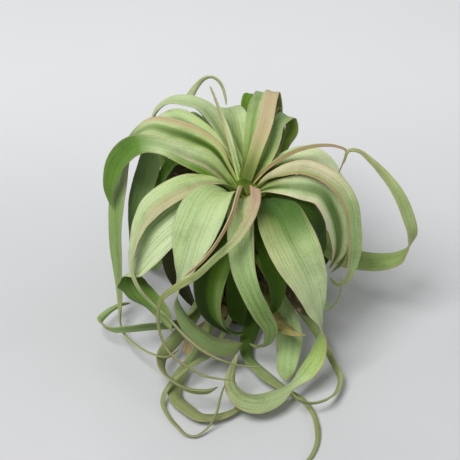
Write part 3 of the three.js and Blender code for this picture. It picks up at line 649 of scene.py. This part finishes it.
LOW_LOOKS = {
    # Painted shadow: the loop is darkened from the bulb to about halfway along.
    "leaf_left_loop": (
        "sage", "sage", 0.4, 0.3,
        ("both", (-2, 2), DEEP_GREEN_AND_SHADE, [(0, 0.8), (0.3, 0.7), (0.5, 0.2), (0.6, 0)]),
    ),
    "leaf_low_right_loop": (
        "sage", "sage", 0.6, 0.3,
        ("both", (-2, 2), (128, 140, 78), [(0.1, 0.4), (0.4, 0.6), (1, 0.6)]),
    ),
    "leaf_low_right": ("pale", "sage", 0.5, 0.3),
    "leaf_low_front": (
        "sage", "olive", 0.4, 0.3,
        ("both", (-2, 2), DEEP_GREEN_AND_SHADE, [(0, 0.95), (0.2, 0.9), (0.32, 0)]),
    ),
    "others": (
        "sage", "olive", 0.5, 0.3,
        ("both", (-2, 2), (130, 136, 92), [(0.05, 0.4), (0.4, 0.55), (1, 0.5)]),
    ),
}
grow_leaves(LOW_LEAVES, LOW_LOOKS, leaf_skin)


# ---------------------------------------------------------------- Back leaves
# Leaves that arch up and away behind the crown and drop down the back of the ball, with a thin tendril
# looped over the top.
BACK_LEAVES = {
    "leaf_back_1": [
        [-1, 6, 75, 1.5], [-4, 14, 80, 5], [-9, 23.5, 84, 9.5], [-14, 31, 89, 13], [-20, 35, 94, 13.5],
        [-28, 37, 96, 11.5, -10], [-35, 38, 95, 9, -10], [-41, 38, 89, 7.5, -20], [-43, 36, 81, 6, -30],
        [-45, 34, 71, 5.5, -30], [-44, 31, 60, 4, -30], [-41, 29, 44, 3], [-37, 28, 34, 1.5],
    ],
    "leaf_back_2": [
        [-2, 3, 76, 1.5], [-4, 9, 82, 2.4], [-7, 18, 89, 3], [-9.5, 26, 93, 2.4], [-12, 32, 96.5, 1.6],
        [-14, 36, 100, 1.2], [-16, 38.5, 104, 1],
    ],
    "leaf_back_broad": [
        [-1, 6, 72, 1.5], [-3, 21, 76, 6], [-4, 32, 81.5, 12], [-6, 41, 85, 14], [-7.5, 46, 85.5, 11.5],
        [-8.5, 50, 82, 8], [-8.5, 52.5, 76, 6], [-9.5, 54, 66, 6], [-11, 54, 54, 6], [-10, 51, 41, 5],
        [-7, 48, 33, 3],
    ],
    "leaf_back_3": [
        [0, 4, 77, 2], [2, 14, 85, 4.5], [4, 25, 91, 7.5], [6, 35, 95, 8.5], [7.3, 43, 94, 7.5],
        [9.5, 52, 90, 7.5], [14, 58, 75, 7], [16, 60, 58, 6], [16, 58, 42, 4.5], [13, 52, 29, 3],
        [6, 45, 22, 1.5],
    ],
    "leaf_back_curl": [
        [1, 6, 69, 1], [1, 28, 73, 2.5], [1.5, 42, 76, 4], [1, 50, 83, 5.5], [1.5, 54, 87, 4.5],
        [2.5, 57, 86, 3], [3, 61, 75, 3], [3, 63, 60, 3], [5, 62, 45, 2.5], [8, 59, 33, 2],
    ],
    "leaf_back_pink": [
        [1, 2, 78, 2.5], [5, 9, 89, 6], [9, 18, 97, 7], [11, 28, 102, 7], [12.5, 35, 102.5, 6.5],
        [14, 41, 96.5, 5.5], [15, 46, 83, 5.5], [15, 47, 68, 4], [15, 47, 55, 2.5],
    ],
    "leaf_back_4": [
        [3, 6, 75, 2], [7.5, 17, 83.5, 3.5], [10.5, 26, 89, 5], [12.5, 33.5, 92.5, 4.5], [14.5, 38, 92, 4],
        [16, 41, 86, 4], [17.5, 43, 74, 3.5], [18.5, 43, 62, 2],
    ],
    "leaf_back_5": [
        [3, 4, 76, 2], [9, 12, 82, 7.5], [12.5, 19, 87, 8], [14.5, 25, 92, 7.5], [18, 29.5, 92.5, 7.5],
        [20, 33, 90, 8], [21, 33, 83, 7.5], [19, 31, 77, 4.5], [16, 27, 70, 2],
    ],
    "leaf_top_tendril": [
        [-2, 6, 69, 2], [-6, 25, 74, 3.5], [-13, 40, 78, 4.5], [-21, 51.5, 80.5, 4], [-26.5, 53, 84.5, 4],
        [-24.7, 53, 89.5, 3.5], [-22, 53, 94, 3], [-18.9, 53, 97.5, 2.6], [-15.7, 53, 98.7, 2.3],
        [-12.6, 53, 97, 2], [-10.3, 53, 92.8, 1.6], [-9, 52, 88, 1.3], [-8.5, 51, 84, 1],
    ],
    "leaf_back_6": [
        [-1, 7, 65, 2], [-6, 31, 70, 5.5], [-15, 50, 72, 8], [-22, 62, 69, 9], [-28, 67, 60, 9],
        [-31, 67, 48, 7.5], [-30, 62, 35, 5], [-26, 55, 25, 2.5],
    ],
    "leaf_back_7": [
        [-3, 5, 71, 1.5], [-8, 19, 76, 4.5], [-15, 32, 79, 7.5], [-22, 41, 81, 9], [-27, 47, 81, 8.5],
        [-35, 53, 70, 8], [-38, 55, 58, 7], [-38, 54, 46, 5], [-36, 51, 35, 3],
    ],
}
SHADED_BASE = ("upper", (-2, 2), (76, 100, 22), [(0, 0.85), (0.06, 0.7), (0.12, 0.3), (0.2, 0)])
BACK_LOOKS = {
    "leaf_back_1": ("pale", "sage", 0.4, 0.25),
    "leaf_back_2": ("pale", "sage", 1.3, 0.2, ("both", (-2, -0.4), RUST, [(0.1, 0), (0.3, 0.6), (1, 0.7)])),
    "leaf_back_broad": ("pale", "green", 0.5, 0.3, SHADED_BASE),
    "leaf_back_3": (
        "pale", "green", 0.5, 0.3,
        ("upper", (-2, 0.1), GREEN, [(0.1, 0.3), (0.3, 0.6), (1, 0.5)]),
        SHADED_BASE,
    ),
    "leaf_back_curl": ("vivid", "green", 0.3, 0.3),
    "leaf_back_pink": (
        "pale", "green", 0.8, 0.3,
        ("upper", (-2, 2), PINK, [(0, 0), (0.08, 0.2), (0.2, 0.8), (0.6, 0.85)]),
        SHADED_BASE,
    ),
    "leaf_back_4": ("olive", "green", 0.6, 0.3, SHADED_BASE),
    "leaf_back_5": (
        "sage", "sage", 1.0, 0.3,
        ("under", (-2, 2), (140, 168, 44), [(0.3, 0.2), (0.5, 0.8), (1, 0.8)]),
    ),
    "leaf_top_tendril": (
        "pale", "pale", 0.3, 0.2,
        ("both", (-2, 2), (198, 204, 152), [(0, 0.4), (1, 0.5)]),
    ),
    "others": ("sage", "green", 0.4, 0.35),
}
# A softer midline wash for the back leaves: partly their own green, partly painted shade in the channel.
SOFT_GROOVE_COLOUR_AND_SHADE = ("upper", (-0.3, 0.3), GREEN, [(0, 1), (0.12, 0.8), (0.3, 0.3), (0.6, 0.1), (1, 0.1)])
grow_leaves(BACK_LEAVES, BACK_LOOKS, leaf_skin, SOFT_GROOVE_COLOUR_AND_SHADE)


# ---------------------------------------------------------------- Left leaves
# Three long arches that run down the left edge of the ball, the dark leaf inside them, the broad striped
# leaf with its fold and the light one whose tip trails across the front.
LEFT_LEAVES = {
    "leaf_left_arch_1": [
        [-5, 0, 73, 2.5], [-9, 0, 79, 5.5, -15], [-17, 0, 88, 10.5, -40], [-26, 0.5, 92.5, 9.5, -38],
        [-35, 2, 96.5, 8, -44], [-43, 4, 97, 8, -52], [-49, 6, 94.5, 9.5, -60], [-54, 8, 89, 10, -65],
        [-58.5, 9, 80.5, 9, -65], [-61, 8, 70, 6.5, -60], [-61.5, 6, 60, 2.5, -50],
    ],
    "leaf_left_arch_2": [
        [-4, 1, 75, 1.5], [-8, 5, 81, 4, -10], [-14, 9, 89, 9, -25], [-23, 12, 93, 11.5, -35],
        [-33, 15, 95, 12, -40], [-42, 17, 96, 10.5, -35], [-48, 18, 92, 8, -35], [-52, 18, 85, 8.5, -40],
        [-54, 17, 77, 9.5, -50], [-56, 14, 68, 10.5, -55], [-58, 9, 60, 11, -55], [-59, 4, 49, 11, -50],
        [-59, 1, 38, 10, -50], [-58.5, -2, 28, 8.5, -45], [-58, -6, 19, 6, -45], [-58, -10, 12, 4, -45],
        [-58, -17, 8, 2.5, -30], [-55, -26, 8, 2], [-49, -36, 11, 2], [-42, -45, 15, 1.5],
        [-35, -51, 19, 1.5], [-29, -54, 27, 1],
    ],
    "leaf_left_arch_3": [
        [-3, 5, 74, 1.5], [-8, 11, 82.5, 4], [-15, 18, 88.5, 8, -10], [-24, 22.5, 92, 11.5, -20],
        [-32, 27, 93, 12.5, -25], [-38, 27, 90, 11.5, -30], [-41, 26, 85, 11, -45],
        [-42, 24, 79, 11.5, -60], [-43.5, 20, 72, 12, -72], [-46, 16.5, 65, 11.5, -75],
        [-49, 13, 57, 9.5, -70], [-51, 10, 49, 6.5, -60], [-52, 8, 40, 4, -45], [-52, 6, 29, 3, -40],
        [-51, 3, 19, 2, -30], [-50, 1, 12, 1.5],
    ],
    "leaf_left_inner": [
        [-4, 5, 70, 2.5], [-14, 13, 75, 6], [-23, 18, 76, 9], [-30, 20, 75, 10.5, -15],
        [-35, 19, 70, 10.5, -30], [-38, 16, 63, 8.5, -40], [-39, 13, 55, 4, -40],
    ],
    "leaf_left_crease": [
        [-5, -3, 74, 2], [-9, -7, 82, 4.5, -10], [-16, -9, 85, 8, -20], [-25, -12, 85, 12.5, -30],
        [-34, -15, 82, 14, -30], [-41, -17, 77, 13.5, -30], [-46, -20, 70, 11.5, -20],
        [-49, -25, 62, 8.5, -10], [-50, -33, 56, 5], [-47, -40, 51, 3.5], [-41, -44, 45, 2.5],
        [-34, -49, 41, 2], [-26, -55, 35, 2], [-18, -59, 30, 2], [-9, -61, 26, 1.5], [0, -61, 23, 1],
        [8, -61, 23, 1],
    ],
    "leaf_left_broad": [
        [-5, -4, 69, 2.5], [-10, -11, 75, 6.5], [-18, -16, 76, 13], [-26, -21, 75.5, 18.5],
        [-34, -24, 70, 21], [-41, -25, 62, 21], [-47, -25, 53, 17.5], [-52, -25, 45, 12, 50],
        [-50, -27, 37, 13.5, 130], [-43.5, -30.5, 30.5, 15.5, 150], [-37, -35.5, 26, 11.5, 150],
        [-33, -39, 23, 4, 150],
    ],
}
LEFT_LOOKS = {
    "leaf_left_arch_1": (
        "pale", "vivid", 0.6, 0.4,
        ("upper", (-2, -0.2), VIVID, [(0, 0.8), (0.2, 0.95), (0.33, 0.7), (0.43, 0)]),
        ("upper", (-0.35, -0.05), CREAM, [(0.04, 0), (0.12, 0.5), (0.3, 0.6), (0.4, 0)]),
        ("upper", (-2, 2), (82, 128, 10), [(0.4, 0), (0.58, 0.9), (1, 0.9)]),
    ),
    # Painted shadow on the second arch: its groove near the crown is darkened where the first arch shades it,
    # and so is its run down under that arch's loop.
    "leaf_left_arch_2": (
        "pale", "sage", 0.9, 0.4,
        ("upper", (-0.5, 0.25), DEEP_GREEN_AND_SHADE, [(0, 0.5), (0.08, 0.85), (0.15, 0.5), (0.24, 0.1)]),
        ("both", (-2, 2), DEEP_GREEN_AND_SHADE, [(0.26, 0), (0.33, 0.8), (0.4, 0.6), (0.46, 0)]),
        ("both", (-2, 2), GREEN, [(0.4, 0), (0.48, 0.75), (0.68, 0.7), (0.8, 0.2)]),
        ("upper", (0.62, 2), PINK, [(0, 0), (0.05, 0.4), (0.1, 0.85), (0.24, 0.85), (0.3, 0)]),
    ),
    "leaf_left_arch_3": (
        "pale", "green", 0.7, 0.4,
        ("both", (-2, 2), (72, 106, 36), [(0, 0), (0.35, 0), (0.5, 0.8), (0.8, 0.8), (1, 0.5)]),
    ),
    "leaf_left_inner": ("vivid", "deep", 0.1, 0.3),
    "leaf_left_crease": (
        "pale", "sage", 1.0, 0.35,
        ("upper", (-0.45, 0.45), (186, 202, 140), [(0.04, 0), (0.1, 0.6), (0.4, 0.6), (0.6, 0.1)]),
        ("upper", (-2, 0), (190, 162, 132), [(0, 0), (0.08, 0.6), (0.3, 0.55), (0.5, 0.1)]),
        ("both", (-2, 2), (108, 134, 78), [(0.45, 0), (0.58, 0.55), (1, 0.6)]),
    ),
    # The paler mint from near the base to the middle is partly the leaf's own colour and partly painted
    # light, lifting the shadow of the crease leaf above it; the dark under the fold is painted shade.
    "leaf_left_broad": (
        "pale", "green", 0.6, 0.65,
        ("under", (-2, 2), DEEP_GREEN_AND_SHADE, [(0.55, 0.85), (0.64, 0.5), (0.78, 0.15), (0.85, 0)]),
        ("upper", (-2, 2), (220, 234, 184), [(0.08, 0), (0.18, 0.8), (0.48, 0.6), (0.6, 0)]),
    ),
}
grow_leaves(LEFT_LEAVES, LEFT_LOOKS, leaf_skin)


# ---------------------------------------------------------------- Right leaves
# Channelled leaves that arch down the right edge, a thin pink one, the big loop that swings out past
# the rest and back, and a low leaf whose tip has dried to a wiry curl.
RIGHT_LEAVES = {
    "leaf_right_inner": [
        [6, -3, 68, 2.5], [13, -9, 75, 6, 10], [20, -14, 77, 10, 15], [27, -16, 73, 11.5, 15],
        [32, -15, 64, 10.5, 10], [34, -13, 52, 8], [35, -10, 40, 4],
    ],
    "leaf_right_channelled": [
        [5, -2, 73, 2.5], [11, -7, 80, 6, 10], [17, -12, 85, 9, 20], [25, -15, 87, 12.5, 25],
        [33, -16, 85, 13.5, 25], [38, -18, 77, 13, 25], [41, -20, 66, 11.5, 30], [41, -21, 56, 8.5, 30],
        [38, -22, 46, 3, 30],
    ],
    "leaf_right_outer": [
        [5, 0, 74, 2.5], [11, -3, 83, 5, 10], [18, -6, 89, 7.5, 20], [26, -9, 93, 8.5, 20],
        [34, -12, 92, 8.5, 20], [41, -15, 88, 8, 30], [46, -18, 80, 7.5, 45], [48, -19, 69, 7, 50],
        [49, -20, 57, 6.5, 50], [48, -21, 47, 5.5, 45], [46, -23, 41, 3.5, 30], [42, -26, 40, 2],
        [38, -27, 45, 1.5],
    ],
    "leaf_right_pale": [
        [5, 4, 72, 2.5], [12, 9, 78, 6, 10], [20, 13, 80, 11, 20], [28, 15, 80, 14, 25],
        [35, 15, 77, 14.5, 25], [40, 13, 71, 12, 30], [43, 11, 64, 9, 40], [44, 9, 55, 5.5, 40],
        [43, 8, 46, 3, 40],
    ],
    "leaf_right_thin_pink": [
        [3, 1, 76, 1.5], [9, 5, 81, 3.5], [16, 8, 85, 4.5], [25, 10, 89, 4.2], [34, 9, 92, 3], [41, 7, 93, 2],
        [45, 5, 92, 2], [44, 4, 87, 1.5], [42, 3, 81, 1],
    ],
    "leaf_right_loop": [
        [7, 1, 63, 3], [17, 5, 58, 6.5], [27, 6, 50, 9], [37, 4, 40, 10], [46, 1, 34, 10],
        [54, -1, 33, 9.5], [64, -3, 34, 9], [71, -5, 38, 8], [75, -6, 45, 7, -20], [76, -6, 53, 6.5, -45],
        [73, -5, 64, 6.5, -50], [68, -3, 75, 5.5, -50], [62, -1, 83, 4.5, -40], [55, 1, 90, 3.5, -20],
        [50, 2, 94, 2.5], [46, 2, 94, 2], [44, 1, 88, 1.5],
    ],
    "leaf_right_behind": [
        [6, 4, 66, 2.5], [16, 7, 71, 5.5], [27, 6, 70, 8], [37, 2, 65, 9], [44, -2, 57, 8.5],
        [46, -6, 47, 7.5], [44, -8, 38, 5], [40, -11, 34, 2.5],
    ],
    "leaf_right_low": [
        [6, -6, 64, 3], [14, -16, 67, 6], [21, -24, 63, 8], [27, -28, 53, 8], [31, -31, 45, 6.5],
        [34, -33, 38, 4.5], [38, -33, 32, 2], [41, -32, 34, 1], [43, -31, 41, 1], [43, -30, 49, 1],
    ],
}
RIGHT_LOOKS = {
    "leaf_right_inner": (
        "green", "deep", 0.5, 0.3,
        ("both", (-2, 2), DEEP_GREEN_AND_SHADE, [(0.4, 0), (0.65, 0.9), (1, 0.9)]),
    ),
    # The deep wash down its middle is partly the groove's own green and partly painted shade in the channel.
    "leaf_right_channelled": (
        "pale", "deep", 0.6, 0.3,
        ("upper", (-0.4, 0.4), DEEP_GREEN_AND_SHADE, [(0, 0), (0.3, 0.3), (0.6, 0.85), (1, 0.85)]),
        ("upper", (0.66, 2), CREAM, [(0, 0.2), (0.15, 0.7), (0.6, 0.8), (0.8, 0.3)]),
        ("upper", (-2, -0.55), CREAM, [(0, 0.2), (0.15, 0.5), (0.5, 0.4), (0.7, 0)]),
    ),
    "leaf_right_outer": (
        "sage", "sage", 0.8, 0.3,
        ("upper", (-2, 0.3), CREAM, [(0, 0.2), (0.1, 0.75), (0.35, 0.7), (0.5, 0.1), (0.6, 0)]),
        ("upper", (0.55, 2), RUST, [(0, 0.2), (0.12, 0.6), (0.5, 0.6), (0.7, 0.4), (1, 0.1)]),
    ),
    # Painted light: the pale wash over most of the leaf lifts it to the brightness of full light, though it
    # faces away from the lamps.
    "leaf_right_pale": (
        "pale", "green", 0.6, 0.25,
        ("upper", (-2, 2), (226, 236, 184), [(0.2, 0), (0.35, 0.85), (1, 0.8)]),
    ),
    "leaf_right_thin_pink": (
        "sage", "sage", 0.8, 0.2,
        ("both", (-0.4, 2), RUST, [(0, 0.3), (0.12, 0.75), (1, 0.8)]),
        ("both", (-2, -0.4), RUST, [(0.4, 0), (0.6, 0.5), (1, 0.6)]),
    ),
    "leaf_right_loop": (
        "pale", "sage", 1.1, 0.4,
        ("both", (-2, 2), (146, 164, 78), [(0.1, 0.4), (0.5, 0.55), (1, 0.4)]),
    ),
    "leaf_right_behind": ("sage", "green", 0.4, 0.35),
    "leaf_right_low": ("sage", "olive", 0.2, 0.3),
}
grow_leaves(RIGHT_LEAVES, RIGHT_LOOKS, leaf_skin)


# ---------------------------------------------------------------- Front leaves
# The broad leaves that the plant shows first. The two widest narrow to a waist, twist and end in bowls,
# a pink-topped one trails a thin strand, and darker ones hang inside them.
FRONT_LEAVES = {
    "leaf_front_pink": [
        [3, -4, 72, 2], [4, -14, 86, 5], [4, -28, 90, 5], [1, -40, 89, 4.5], [-5, -49, 85, 4],
        [-13, -53, 79, 3], [-21, -55, 71, 3], [-30, -56, 65, 3], [-36, -55, 58, 2.5], [-38, -53, 48, 2],
        [-38, -52, 38, 2], [-36, -53, 29, 2], [-32, -56, 24, 2], [-25, -61, 22, 2], [-18, -65, 21, 2],
        [-11, -68, 22, 1.5], [-5, -69, 22, 1],
    ],
    "leaf_front_thin": [
        [-1, -4, 74, 2], [-2, -13, 86, 2], [-4, -28, 91, 1.8], [-6, -40, 92, 1.8], [-10, -50, 90, 1.5],
        [-14, -56, 87, 1.4], [-19, -59, 82, 1.2], [-26, -60, 75, 1],
    ],
    "leaf_front_center": [
        [0, -6, 71, 2.5], [-1, -17, 82, 9.5], [-2, -30, 85, 11.5], [-2, -41, 78, 11.5], [-1, -48, 69, 10.5],
        [2, -51, 59, 9], [7, -51, 46, 8.5], [11, -48, 34, 6.5], [10, -43, 21, 4.5], [6, -38, 13, 2.5],
        [2, -35, 12, 2],
    ],
    "leaf_front_left_broad": [
        [-3, -5, 70, 2.5], [-7, -12, 81, 8], [-12, -21, 88, 15], [-16, -29, 89, 20.5], [-19.5, -37, 86, 22],
        [-23, -42, 79, 19], [-26, -46, 69, 11], [-29, -46, 57, 5.5, 40], [-30, -43, 44, 6.5, 60],
        [-26, -44, 34, 8.5, 65], [-20, -45, 27, 9, 65], [-13, -45, 21, 9, 65], [-5, -43, 18, 8, 65],
        [-1, -40, 17, 2.5, 65],
    ],
    "leaf_front_cupped": [
        [-1, -6, 69, 2.5], [-4, -18, 75, 6.5], [-8, -29, 71, 12.5], [-13, -34, 60, 15.5], [-16, -35, 46, 15],
        [-15, -34, 31, 12.5], [-11, -32, 21, 8], [-5, -31, 15, 4], [0, -29, 13, 2],
    ],
    "leaf_front_inner": [
        [1, -7, 67, 2], [1, -18, 69, 6], [-1, -25, 61, 10], [-2, -27, 48, 11], [-3, -26, 34, 11],
        [-3, -24, 21, 8], [-1, -22, 11, 3.5],
    ],
    "leaf_front_right_inner": [
        [3, -6, 68, 2], [6, -19, 73, 6.5], [9, -29, 69, 10], [12, -35, 60, 10.5], [14, -38, 49, 8],
        [13, -38, 38, 5], [12, -37, 32, 2.5],
    ],
    "leaf_front_right_broad": [
        [5, -6, 70, 2.5], [8.5, -14, 77, 8.5], [13.5, -24, 79, 19.5, 5], [17, -35, 77, 23, 10],
        [21.5, -43, 72, 22.5, 15], [27, -47, 61, 18.5, 10], [30, -49, 50, 13.5], [33, -49, 38, 7.5, -30],
        [34, -48, 29, 8, -60], [32, -50, 19, 10, -70], [27, -55, 13, 8.5, -70], [21, -61, 11, 4.2, -60],
        [13, -67, 10, 9.5, -60], [5, -70, 10, 11, -60], [-2, -68, 11, 9, -60], [-6, -63, 14, 6, -60],
        [-5, -58, 19, 4, -60], [-3, -54, 24, 2.5, -60],
    ],
}
FRONT_LOOKS = {
    "leaf_front_pink": (
        "olive", "olive", 0.7, 0.4,
        ("both", (-2, 2), (208, 158, 140), [(0, 0.1), (0.03, 0.8), (0.12, 0.75), (0.2, 0.4), (0.3, 0)]),
        ("both", (-2, 2), (132, 142, 76), [(0.28, 0), (0.45, 0.5), (1, 0.6)]),
    ),
    "leaf_front_thin": (
        "olive", "olive", 0, 0.2,
        ("both", (-2, 0.1), RUST, [(0, 0.6), (0.5, 0.8), (1, 0.8)]),
        ("both", (0.1, 2), CREAM, [(0, 0.3), (0.3, 0.7), (1, 0.5)]),
        ("both", (-0.2, 0.4), (92, 66, 48), [(0.1, 0), (0.3, 0.8), (1, 0.8)]),
    ),
    "leaf_front_center": (
        "sage", "green", 0.6, 0.6,
        ("upper", (-2, 2), CREAM, [(0, 0), (0.08, 0.25), (0.2, 0.2), (0.3, 0)]),
        ("both", (-2, 2), GREEN, [(0.42, 0), (0.58, 0.6), (0.75, 0.4), (0.88, 0)]),
    ),
    "leaf_front_left_broad": (
        "pale", "sage", 0.7, 0.38,
        ("upper", (0.1, 2), SAGE, [(0, 0.6), (0.3, 0.6), (0.6, 0.2)]),
        ("both", (-2, 2), (98, 116, 66), [(0.6, 0), (0.72, 0.5), (0.85, 0.7), (1, 0.7)]),
        ("both", (0.6, 2), (168, 138, 116), [(0.6, 0), (0.72, 0.4), (1, 0.4)]),
    ),
    # Its start near the crown is darkened, partly its own deeper green and partly painted shadow where the
    # right leaves arch over it.
    "leaf_front_right_broad": (
        "pale", "pale", 0.8, 0.45,
        ("upper", (-2, 2), DEEP_GREEN_AND_SHADE, [(0, 0.95), (0.12, 0.95), (0.16, 0.5), (0.22, 0)]),
        ("upper", (-2, 0.1), (78, 112, 50), [(0.1, 0.9), (0.17, 0.7), (0.23, 0.25), (0.31, 0)]),
        ("upper", (0.3, 2), PINK, [(0.1, 0), (0.2, 0.15), (0.4, 0.1), (0.5, 0)]),
        ("both", (-2, 2), (154, 184, 78), [(0.4, 0), (0.48, 0.8), (0.58, 0.6), (0.64, 0)]),
        ("both", (-2, 2), (128, 146, 92), [(0.6, 0), (0.66, 0.55), (1, 0.6)]),
    ),
    # The cupped leaf is painted dark all over, painted shade inside the ball; its right half is lit up with
    # painted light in vivid and pale green, and its left half darkened further with painted shade.
    "leaf_front_cupped": (
        "deep", "deep", 0.2, 0.3,
        ("upper", (-2, 0.1), VIVID, [(0.2, 0), (0.4, 0.7), (0.8, 0.8), (1, 0.6)]),
        ("upper", (-2, -0.4), (150, 178, 92), [(0.3, 0), (0.5, 0.7), (0.8, 0.85), (1, 0.6)]),
        ("upper", (0.15, 2), (30, 48, 6), [(0.1, 0), (0.3, 0.6), (1, 0.6)]),
    ),
    # The leaves hanging inside are deep green all over, partly their own colour and partly painted shade of
    # the inside of the ball.
    "others": ("deep", "deep", 0.2, 0.3),
}
grow_leaves(FRONT_LEAVES, FRONT_LOOKS, leaf_skin, FAINT_GROOVE_COLOUR_AND_SHADE)
